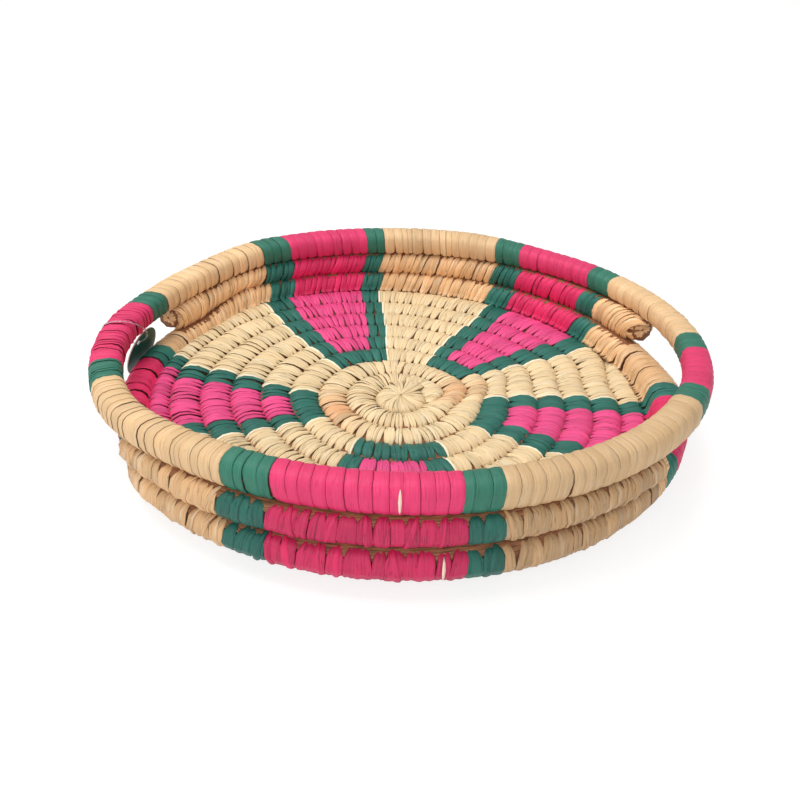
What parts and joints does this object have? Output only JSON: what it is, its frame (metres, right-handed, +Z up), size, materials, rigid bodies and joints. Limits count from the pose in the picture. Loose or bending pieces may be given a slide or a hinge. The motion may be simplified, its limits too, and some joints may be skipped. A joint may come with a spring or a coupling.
{
  "type": "woven tray",
  "caption": "Round coiled palm-leaf tray with a low wall, a rolled rim, two hand holes under the rim, a petal pattern in dyed leaf and a small hang tag.",
  "frame": {"origin": "on the table, under the centre of the start knot", "axes": "+Z up; the hand holes face -X and +X; -Y is the front, the side with the widest petal on the rim"},
  "size_m": [0.3545, 0.3333, 0.0644],
  "materials": {
    "leaf_centre": "satin natural leaf",
    "leaf_natural_floor": "satin natural leaf",
    "leaf_natural_wall": "satin natural leaf",
    "leaf_natural_rim": "polished natural leaf",
    "leaf_green": "satin dyed leaf",
    "leaf_green_rim": "polished dyed leaf",
    "leaf_magenta_floor": "satin dyed leaf",
    "leaf_magenta_wall": "satin dyed leaf",
    "leaf_magenta_rim": "polished dyed leaf",
    "tag_card": "coated card",
    "nylon": "clear thread"
  },
  "bodies": {
    "tray": {"start_knot": "leaf_centre", "centre_coil": "leaf_centre", "floor_green_back_right": "leaf_green", "floor_magenta_back_right": "leaf_magenta_floor", "floor_natural_rear": "leaf_natural_floor", "wall_green_back_right_cw": "leaf_green", "wall_magenta_back_right": "leaf_magenta_wall", "wall_green_back_right_ccw": "leaf_green", "wall_natural_rear": "leaf_natural_wall", "rim_green_back_right_cw": "leaf_green_rim", "rim_magenta_back_right": "leaf_magenta_rim", "rim_green_back_right_ccw": "leaf_green_rim", "rim_natural_rear": "leaf_natural_rim", "floor_green_back_left": "leaf_green", "floor_magenta_back_left": "leaf_magenta_floor", "floor_natural_left_rear": "leaf_natural_floor", "wall_green_back_left_cw": "leaf_green", "wall_magenta_back_left": "leaf_magenta_wall", "wall_green_back_left_ccw": "leaf_green", "wall_natural_left_rear": "leaf_natural_wall", "rim_green_back_left_cw": "leaf_green_rim", "rim_magenta_back_left": "leaf_magenta_rim", "rim_green_back_left_ccw": "leaf_green_rim", "rim_natural_left_rear": "leaf_natural_rim", "floor_green_left": "leaf_green", "floor_magenta_left": "leaf_magenta_floor", "floor_natural_left_front": "leaf_natural_floor", "wall_green_left_cw": "leaf_green", "wall_magenta_left": "leaf_magenta_wall", "wall_green_left_ccw": "leaf_green", "wall_natural_left_front": "leaf_natural_wall", "rim_green_left_cw": "leaf_green_rim", "rim_magenta_left": "leaf_magenta_rim", "rim_green_left_ccw": "leaf_green_rim", "rim_natural_left_front": "leaf_natural_rim", "floor_green_front": "leaf_green", "floor_magenta_front": "leaf_magenta_floor", "floor_natural_right_front": "leaf_natural_floor", "wall_green_front_cw": "leaf_green", "wall_magenta_front": "leaf_magenta_wall", "wall_green_front_ccw": "leaf_green", "wall_natural_right_front": "leaf_natural_wall", "rim_green_front_cw": "leaf_green_rim", "rim_magenta_front": "leaf_magenta_rim", "rim_green_front_ccw": "leaf_green_rim", "rim_natural_right_front": "leaf_natural_rim", "floor_green_right": "leaf_green", "floor_magenta_right": "leaf_magenta_floor", "floor_natural_right_rear": "leaf_natural_floor", "wall_green_right_cw": "leaf_green", "wall_magenta_right": "leaf_magenta_wall", "wall_green_right_ccw": "leaf_green", "wall_natural_right_rear": "leaf_natural_wall", "rim_green_right_cw": "leaf_green_rim", "rim_magenta_right": "leaf_magenta_rim", "rim_green_right_ccw": "leaf_green_rim", "rim_natural_right_rear": "leaf_natural_rim"},
    "tag": {"hang_tag": "tag_card", "tag_loop": "nylon"}
  },
  "joints": [
    {"name": "hang_tag_swing", "type": "hinge", "parent": "tray", "child": "tag", "pos_m": [-0.16753, 0.01171, 0.03991], "axis": [0.0698, 0.9976, 0], "range_deg": [0, 60]}
  ]
}
